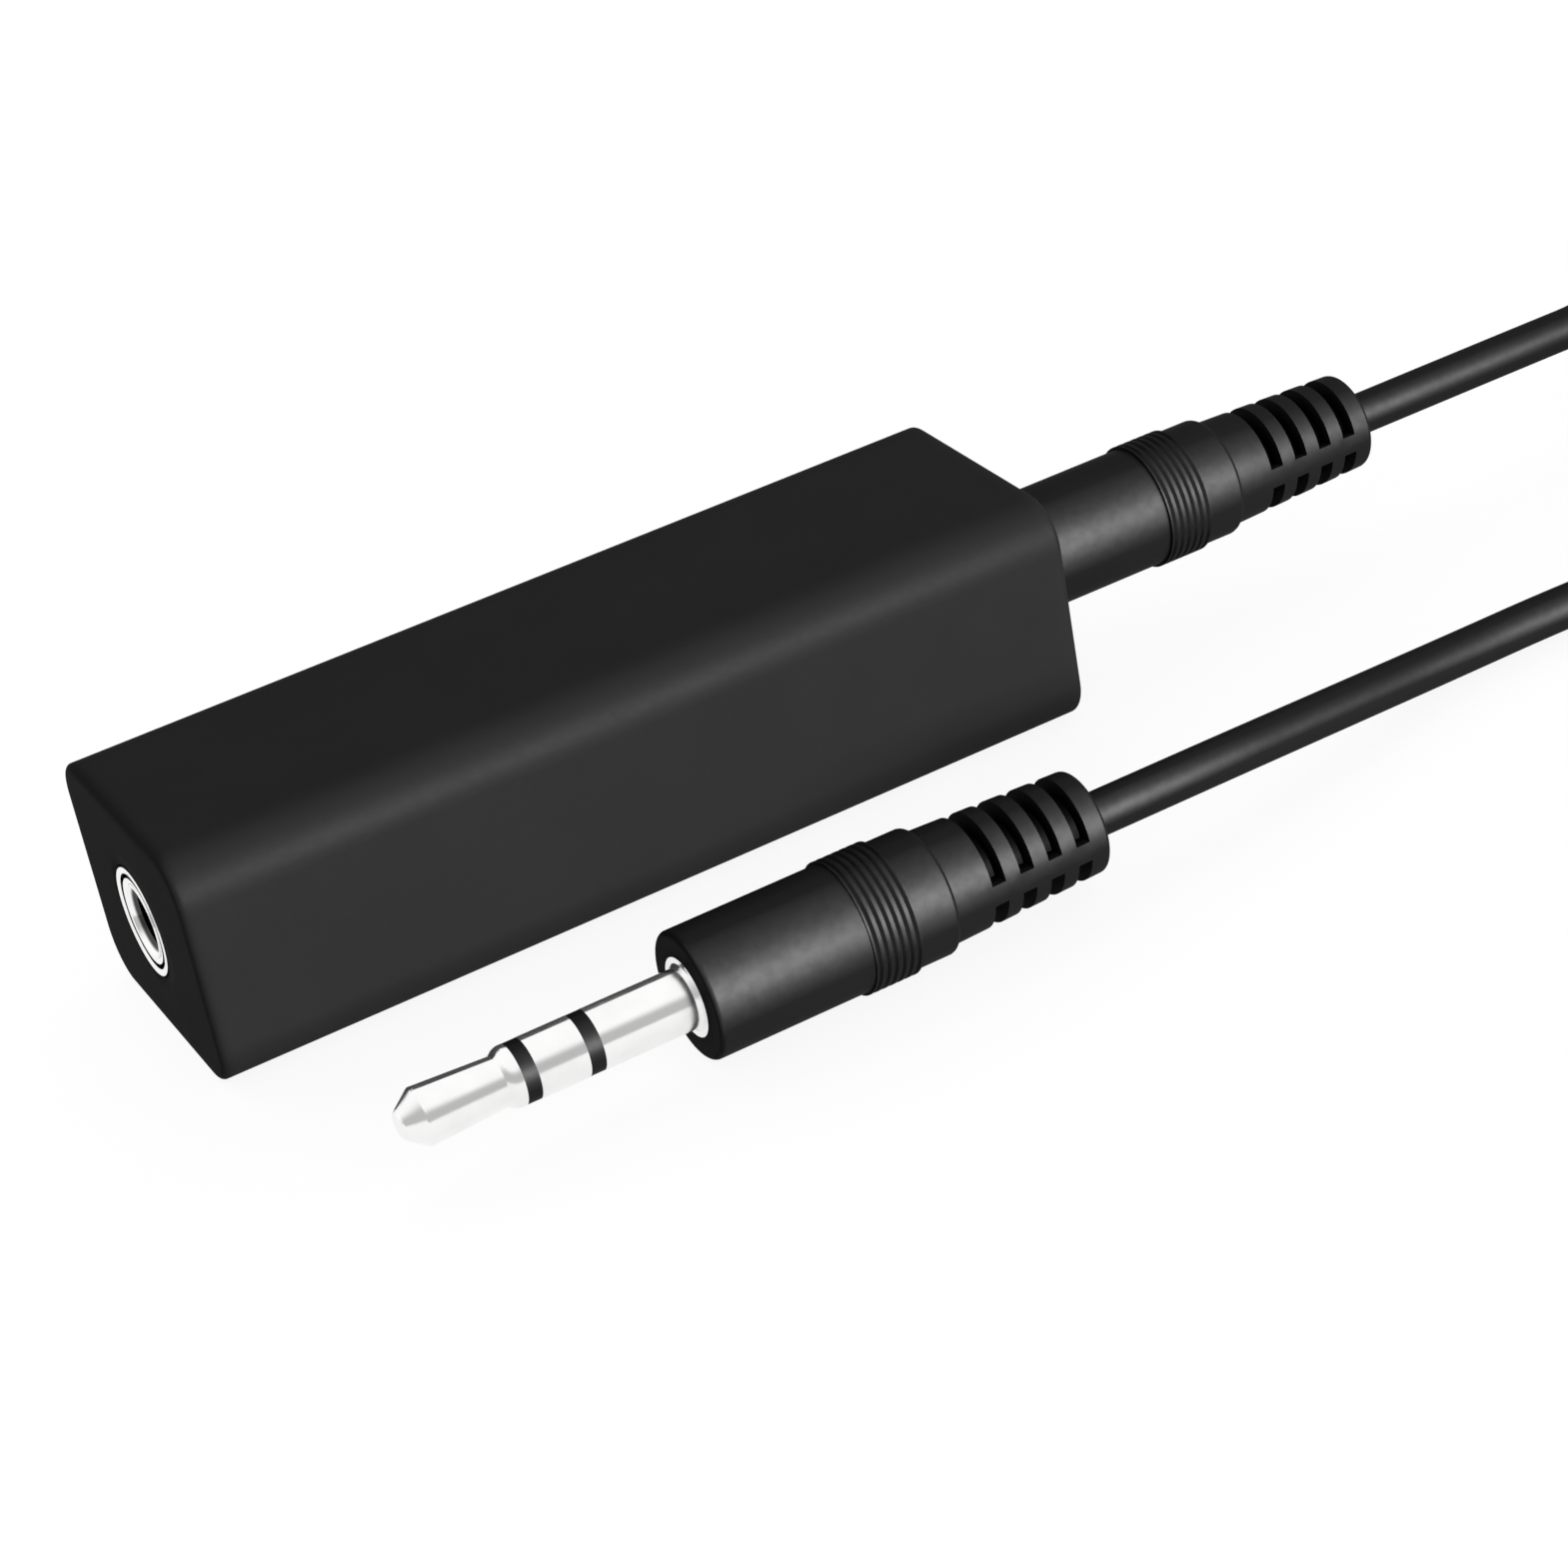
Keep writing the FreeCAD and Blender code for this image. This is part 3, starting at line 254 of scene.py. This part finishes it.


def paint_shade_on_skin(tree, mask, output):
    """Darken the colour of a material's skin by a painted-shade mask before it reaches the
    shader.
    """
    shaded = add_node(tree, "ShaderNodeVectorMath", operation="SCALE")
    join(tree,
         (tree.nodes["skin"], "Color", shaded, 0), (mask, output, shaded, "Scale"),
         (shaded, 0, tree.nodes["Principled BSDF"], "Base Color"))


# Painted shade: a mask that darkens the grips near the plug's line, darkest at the slots' floors.
shade_group, shade_group_in, shade_group_out = node_group("grip_painted_shade", {"Middle": "Vector"}, {"Shade": "Float"})
shade_group_place = add_node(shade_group, "ShaderNodeTexCoord")
off_axis = add_node(shade_group, "ShaderNodeVectorMath", operation="SUBTRACT")
across = add_node(shade_group, "ShaderNodeVectorMath", {1: (0.0, 1.0, 1.0)}, operation="MULTIPLY")
span = add_node(shade_group, "ShaderNodeVectorMath", operation="LENGTH")
radius_shade_ramp = ramp(shade_group, SHADE_DARKEST_RADIUS, SHADE_GONE_RADIUS, SLOT_PAINTED_SHADE, 1.0,
                  interpolation_type="SMOOTHSTEP")
join(shade_group,
     (shade_group_place, "Object", off_axis, 0), (shade_group_in, "Middle", off_axis, 1),
     (off_axis, 0, across, 0), (across, 0, span, 0), (span, "Value", radius_shade_ramp, "Value"),
     (radius_shade_ramp, "Result", shade_group_out, "Shade"))
for plug, middle in PLUG_MIDDLES.items():
    rubber = moulding(plug + "_rubber", **SOFT_BLACK)
    rubber_tree = rubber.node_tree
    # Each grip gets the painted shade on its colour and on its satin.
    slots = add_node(rubber_tree, "ShaderNodeGroup", node_tree=shade_group, inputs={"Middle": middle})
    paint_shade_on_skin(rubber_tree, slots, "Shade")
    shaded_coat = add_node(rubber_tree, "ShaderNodeMath", operation="MULTIPLY")
    join(rubber_tree,
         (rubber_tree.nodes["coat"], 0, shaded_coat, 0), (slots, "Shade", shaded_coat, 1),
         (shaded_coat, 0, rubber_tree.nodes["Principled BSDF"], "Coat Weight"))
    dress(rubber, plug + "_grip")


# Socket bodies and the plugs' two bands: hard black plastic, moulded. The bodies' noses stand
# in the rings of the end walls; the bands part the plug's contacts and are turned flush.
socket_black = moulding("socket_black", (0.0050, 0.0050, 0.0051), 0.45, 0.02, depth=0.000003)
dress(socket_black, "socket_block_left", "socket_block_right")
band_black = moulding("band_black", (0.0055, 0.0055, 0.0056), 0.42, 0.01, satin=0.35,
                      satin_roughness=0.45, depth=0.000002)
dress(band_black, "free_plug_front_insulator", "free_plug_rear_insulator",
      "fitted_plug_front_insulator", "fitted_plug_rear_insulator")


# Plated metal: turned brass with bright nickel on it, with the fine rings that turning
# leaves around the plug's line and a faint cloudiness from handling.
NICKEL = {"colour": (0.985, 0.983, 0.978), "roughness": 0.14}
MOST_HAZE = 0.10                # what the thickest cloudiness adds to the roughness
HAZE_DULLS = 0.6                # share of the haze that is taken from the colour
NICKEL_PLUG_PARTS = ("free_plug_tip", "free_plug_ring", "free_plug_sleeve",
                     "fitted_plug_tip", "fitted_plug_ring", "fitted_plug_sleeve")
turned, turned_in, turned_out = node_group(
    "turned_plating",
    {"Color": "Color", "Roughness": "Float", "Rings per metre": "Float"},
    {"Color": "Color", "Roughness": "Float", "Height": "Float"})
turned_place = add_node(turned, "ShaderNodeTexCoord")
along = add_node(turned, "ShaderNodeVectorMath", {1: (1.0, 0.02, 0.02)}, operation="MULTIPLY")
rings = add_node(turned, "ShaderNodeTexNoise", {"Detail": 2.0}, noise_dimensions="3D")
cloud = add_node(turned, "ShaderNodeTexNoise", {"Scale": 420.0, "Detail": 3.0},
                 noise_dimensions="3D")
haze = ramp(turned, 0.35, 0.75, 0.0, MOST_HAZE)
hazed = add_node(turned, "ShaderNodeMath", operation="ADD")
dulled = add_node(turned, "ShaderNodeMath", {1: -HAZE_DULLS, 2: 1.0},
                  operation="MULTIPLY_ADD")
metal_tone = add_node(turned, "ShaderNodeVectorMath", operation="SCALE")
join(turned,
     (turned_place, "Object", along, 0), (along, 0, rings, "Vector"),
     (turned_in, "Rings per metre", rings, "Scale"), (turned_place, "Object", cloud, "Vector"),
     (cloud, "Fac", haze, "Value"), (haze, "Result", hazed, 0),
     (turned_in, "Roughness", hazed, 1), (haze, "Result", dulled, 0),
     (turned_in, "Color", metal_tone, 0), (dulled, 0, metal_tone, "Scale"),
     (metal_tone, 0, turned_out, "Color"), (hazed, 0, turned_out, "Roughness"),
     (rings, "Fac", turned_out, "Height"))


def plating(name, colour, roughness, rings_per_metre=9000.0, depth=0.0000012):
    """A bare or plated metal: its colour, sheen and the depth of its turning marks."""
    material = bpy.data.materials.new(name)
    material.use_nodes = True
    tree = material.node_tree
    shader = tree.nodes["Principled BSDF"]
    shader.inputs["Metallic"].default_value = 1.0
    skin = add_node(tree, "ShaderNodeGroup", node_tree=turned, name="skin", inputs={
        "Color": (*colour, 1.0), "Roughness": roughness, "Rings per metre": rings_per_metre})
    bump = add_node(tree, "ShaderNodeBump", {"Distance": depth})
    join(tree,
         (skin, "Color", shader, "Base Color"), (skin, "Roughness", shader, "Roughness"),
         (skin, "Height", bump, "Height"), (bump, "Normal", shader, "Normal"))
    return material


bright_nickel = plating("bright_nickel", **NICKEL)
dress(bright_nickel, *NICKEL_PLUG_PARTS)


# Contact bushes: the same turned and plated brass. Painted shade: the colour is darkened further
# into the bore, and plain at the mouth. Places are measured from the box's middle.
DARKEST_BORE_PLACE = 0.02746             # place up to which the bore's painted shade is darkest
UNSHADED_MOUTH_PLACE = 0.02762           # place from which the mouth has no painted shade
BORE_PAINTED_SHADE = 0.07               # share of the colour kept where the painted shade is darkest
bush_nickel = plating("bush_nickel", **NICKEL)
bush_tree = bush_nickel.node_tree
bush_place = add_node(bush_tree, "ShaderNodeTexCoord")
lengthwise = add_node(bush_tree, "ShaderNodeSeparateXYZ")
either_end = add_node(bush_tree, "ShaderNodeMath", operation="ABSOLUTE")
# Painted shade: the bore's colour darkens away from the mouth.
bore_shade_ramp = ramp(bush_tree, DARKEST_BORE_PLACE, UNSHADED_MOUTH_PLACE, BORE_PAINTED_SHADE, 1.0,
             interpolation_type="SMOOTHSTEP")
join(bush_tree,
     (bush_place, "Object", lengthwise, 0), (lengthwise, "X", either_end, 0),
     (either_end, 0, bore_shade_ramp, "Value"))
paint_shade_on_skin(bush_tree, bore_shade_ramp, "Result")
dress(bush_nickel, "sleeve_contact_left", "sleeve_contact_right")


# Socket rings: one turned and plated ring in each end wall, hooked over the plastic, with a
# face that slopes inwards, and a bright flared lip inside it, around the contact bush.
SOCKET_HEIGHT = 0.00719
RING_OUTSIDE = 0.00326          # radii
RING_SKIRT = 0.00305
RING_INSIDE = 0.00286
LIP_OUTSIDE = 0.00257
LIP_INSIDE = 0.00221
RING_BACK = 0.02658             # places along the box, measured from its middle
RING_FRONT = 0.02787
RING_INNER_FRONT = 0.02779
RING_INNER_BACK = 0.02774
LIP_BACK = 0.027685
LIP_INNER_FRONT = 0.02770
LIP_OUTER_FRONT = 0.027755
OUTER_EDGE = 0.00008            # how far the ring's two front edges are rounded
INNER_EDGE = 0.00002
RING_STEPS = 96
SAME_PLACE = 1e-6


def turned_ring(shape, outwards, section):
    """A ring turned about the socket's line from a few corners, each a place and a radius."""
    corners = [shape.verts.new((outwards * place, radius, SOCKET_HEIGHT))
               for place, radius in section]
    sides = [shape.edges.new((corners[count - 1], corners[count]))
             for count in range(len(corners))]
    bmesh.ops.spin(shape, geom=corners + sides, cent=(0.0, 0.0, SOCKET_HEIGHT),
                   axis=(1.0, 0.0, 0.0), angle=2 * math.pi, steps=RING_STEPS, use_merge=True)


def round_off(shape, x, radius, size, segments):
    """Round the edge that runs round a turned ring at one place along it and one radius."""
    found = []
    for edge in shape.edges:
        if all(abs(end.co.x - x) < SAME_PLACE and abs(math.hypot(
                end.co.y, end.co.z - SOCKET_HEIGHT) - radius) < SAME_PLACE
                for end in edge.verts):
            found.append(edge)
    bmesh.ops.bevel(shape, geom=found, offset=size, segments=segments, profile=0.5,
                    affect="EDGES", material=-1)


socket_rings = []
for side, outwards in (("left", -1.0), ("right", 1.0)):
    shape = bmesh.new()
    turned_ring(shape, outwards, (
        (RING_BACK, RING_OUTSIDE), (RING_FRONT, RING_OUTSIDE), (RING_INNER_FRONT, RING_INSIDE),
        (RING_INNER_BACK, RING_INSIDE), (RING_INNER_BACK, RING_SKIRT), (RING_BACK, RING_SKIRT)))
    round_off(shape, outwards * RING_FRONT, RING_OUTSIDE, OUTER_EDGE, 5)
    round_off(shape, outwards * RING_INNER_FRONT, RING_INSIDE, INNER_EDGE, 3)
    turned_ring(shape, outwards, (
        (LIP_BACK, LIP_INSIDE), (LIP_INNER_FRONT, LIP_INSIDE), (LIP_OUTER_FRONT, LIP_OUTSIDE),
        (LIP_BACK, LIP_OUTSIDE)))
    bmesh.ops.remove_doubles(shape, verts=shape.verts[:], dist=1e-7)
    bmesh.ops.recalc_face_normals(shape, faces=shape.faces[:])
    ring_mesh = bpy.data.meshes.new("socket_ring_" + side)
    shape.to_mesh(ring_mesh)
    shape.free()
    ring_mesh.polygons.foreach_set("use_smooth", [True] * len(ring_mesh.polygons))
    ring_mesh.set_sharp_from_angle(angle=math.radians(40.0))
    ring_mesh.materials.append(bright_nickel)
    ring = bpy.data.objects.new("socket_ring_" + side, ring_mesh)
    bpy.context.scene.collection.objects.link(ring)
    socket_rings.append(ring)
    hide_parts("socket_bezel_" + side)
    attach(ring, "root")


# Springs of the sockets and the transformers' legs: bronze strip and wire, stamped and bent,
# and tinned so that they take solder. They end in the holes of the board.
tinned_bronze = plating("tinned_bronze", (0.72, 0.71, 0.68), 0.28)
dress(tinned_bronze, "tip_spring_left", "tip_spring_right", "ring_spring_left",
      "ring_spring_right", "transformer_pins_left", "transformer_pins_right")


# Inside the box, hidden when it is shut: the board of green resin, and two transformers with
# cores of stacked sheet, moulded nylon bobbins and windings of enamelled copper.
board_resin = moulding("board_resin", (0.02, 0.10, 0.045), 0.38, 0.5, grains=900.0)
dress(board_resin, "circuit_board")
core_sheet = plating("core_sheet", (0.30, 0.30, 0.31), 0.42, rings_per_metre=2500.0)
dress(core_sheet, "e_core_left", "e_core_right", "i_core_left", "i_core_right")
bobbin_nylon = moulding("bobbin_nylon", (0.55, 0.50, 0.40), 0.45, 0.5)
dress(bobbin_nylon, "bobbin_left", "bobbin_right")
winding_copper = plating("winding_copper", (0.72, 0.30, 0.13), 0.30, rings_per_metre=5000.0,
                         depth=0.00003)
dress(winding_copper, "primary_winding_left", "primary_winding_right",
      "secondary_winding_left", "secondary_winding_right")


# Table: a plain white sheet under everything. To the eye, and in mirrors, it is mostly an even
# glow; the share of it that is lit carries a soft shadow.
TABLE_SIZE = 3.0                # half the length of a side
GLOW_STRENGTH = 1.13
GLOW_MIRRORED = 0.72            # share of the glow where a mirror shows the table,
GLOW_SEEN = 0.80                # and where the camera sees it
table_mesh = bpy.data.meshes.new("table_top")
sheet = bmesh.new()
bmesh.ops.create_grid(sheet, x_segments=1, y_segments=1, size=TABLE_SIZE)
sheet.to_mesh(table_mesh)
sheet.free()
table_top = bpy.data.objects.new("table_top", table_mesh)
bpy.context.scene.collection.objects.link(table_top)


def seen_rays(tree):
    """The light path, and a node that is one for rays of the camera, mirrors and glass."""
    path = add_node(tree, "ShaderNodeLightPath")
    seen = add_node(tree, "ShaderNodeMath", operation="ADD", use_clamp=True)
    seen_through = add_node(tree, "ShaderNodeMath", operation="ADD", use_clamp=True)
    join(tree,
         (path, "Is Camera Ray", seen, 0), (path, "Is Glossy Ray", seen, 1),
         (seen, 0, seen_through, 0), (path, "Is Transmission Ray", seen_through, 1))
    return path, seen_through


table_paint = bpy.data.materials.new("table_paint")
table_paint.use_nodes = True
table_tree = table_paint.node_tree
table_tree.nodes.clear()
table_out = add_node(table_tree, "ShaderNodeOutputMaterial")
lit = add_node(table_tree, "ShaderNodeBsdfDiffuse", {"Color": (0.60, 0.60, 0.60, 1.0)})
glow = add_node(table_tree, "ShaderNodeEmission", {"Strength": GLOW_STRENGTH})
lit_or_glow = add_node(table_tree, "ShaderNodeMixShader")
table_path, table_seen = seen_rays(table_tree)
glow_most = ramp(table_tree, 0.0, 1.0, GLOW_MIRRORED, GLOW_SEEN)
glow_share = add_node(table_tree, "ShaderNodeMath", operation="MULTIPLY")
join(table_tree,
     (table_path, "Is Camera Ray", glow_most, "Value"),
     (table_seen, 0, glow_share, 0), (glow_most, 0, glow_share, 1),
     (glow_share, 0, lit_or_glow, "Fac"), (lit, 0, lit_or_glow, 1), (glow, 0, lit_or_glow, 2),
     (lit_or_glow, 0, table_out, "Surface"))
table_mesh.materials.append(table_paint)


# Room: soft light from all round, strongest from behind and weakest from above and the two
# ends. Mirrors see a white ceiling, a half-grey wall in front and a white one behind, and the
# camera sees plain white.
FRONT_LIGHT = 1.15              # strength of the soft light from in front,
SIDE_LIGHT = 0.40               # from above and from the two ends,
BACK_LIGHT = 1.7                # and what comes on top of that from behind
FRONT_WALL = 0.50               # brightness of the mirrored wall in front
room = bpy.data.worlds.new("studio_room")
bpy.context.scene.world = room
room.use_nodes = True
room_tree = room.node_tree
room_tree.nodes.clear()
room_out = add_node(room_tree, "ShaderNodeOutputWorld")
room_place = add_node(room_tree, "ShaderNodeTexCoord")
ways = add_node(room_tree, "ShaderNodeSeparateXYZ")
near_side = ramp(room_tree, -0.7, 0.0, FRONT_LIGHT, SIDE_LIGHT)
far_side = ramp(room_tree, 0.0, 0.7, 0.0, BACK_LIGHT)
both_sides = add_node(room_tree, "ShaderNodeMath", operation="ADD")
soft = add_node(room_tree, "ShaderNodeBackground")
ceiling = ramp(room_tree, 0.45, 0.78, 0.0, 1.0, interpolation_type="SMOOTHSTEP")
wall = ramp(room_tree, -0.3, 0.4, FRONT_WALL, 1.0, interpolation_type="SMOOTHSTEP")
mirrored = add_node(room_tree, "ShaderNodeMix", {"B": 1.0}, data_type="FLOAT")
level = add_node(room_tree, "ShaderNodeMix", {"B": 1.0}, data_type="FLOAT")
white = add_node(room_tree, "ShaderNodeBackground", {"Color": (1.0, 1.0, 1.0, 1.0)})
soft_or_white = add_node(room_tree, "ShaderNodeMixShader")
room_path, room_seen = seen_rays(room_tree)
join(room_tree,
     (room_place, "Generated", ways, 0),
     (ways, "Y", near_side, "Value"), (ways, "Y", far_side, "Value"),
     (near_side, "Result", both_sides, 0), (far_side, "Result", both_sides, 1),
     (both_sides, 0, soft, "Strength"),
     (ways, "Z", ceiling, "Value"), (ways, "Y", wall, "Value"),
     (ceiling, "Result", mirrored, "Factor"), (wall, "Result", mirrored, "A"),
     (room_path, "Is Camera Ray", level, "Factor"), (mirrored, 0, level, "A"),
     (level, 0, white, "Strength"), (room_seen, 0, soft_or_white, "Fac"),
     (soft, 0, soft_or_white, 1), (white, 0, soft_or_white, 2),
     (soft_or_white, 0, room_out, "Surface"))


# Front lamp: one soft broad lamp in front of the box, a little to the right and above. Flags
# keep it off the plated metal and the table, so that the metal mirrors only the pale room and
# the table has no bright patch.
LAMP_AIM = Vector((0.0, -0.012, 0.005))
LAMP_DISTANCE = 0.9
lamp_way = Vector((0.42, -0.89, 0.19)).normalized()
lamp_data = bpy.data.lights.new("front_lamp", "AREA")
lamp_data.shape = "RECTANGLE"
lamp_data.size = 0.80
lamp_data.size_y = 0.55
lamp_data.energy = 36.5
front_lamp = bpy.data.objects.new("front_lamp", lamp_data)
front_lamp.location = LAMP_AIM + lamp_way * LAMP_DISTANCE
front_lamp.rotation_euler = lamp_way.to_track_quat("Z", "Y").to_euler()
bpy.context.scene.collection.objects.link(front_lamp)


def left_out(name, objects):
    """A collection of the objects that a lamp's linking leaves out."""
    collection = bpy.data.collections.new(name)
    for member in objects:
        collection.objects.link(member)
    for held in collection.collection_objects:
        held.light_linking.link_state = "EXCLUDE"
    return collection


flagged_nodes = NICKEL_PLUG_PARTS + ("sleeve_contact_left", "sleeve_contact_right")
front_lamp.light_linking.receiver_collection = left_out(
    "kept_off_the_front_lamp",
    [table_top] + [nodes[name] for name in flagged_nodes] + socket_rings)
# The lamp's light passes the free plug, as if a second lamp filled in its shadow on the box.
front_lamp.light_linking.blocker_collection = left_out(
    "casts_no_shadow", [nodes[name] for name in nodes if name.startswith("free_plug_")])

bpy.context.scene.view_settings.view_transform = "Standard"
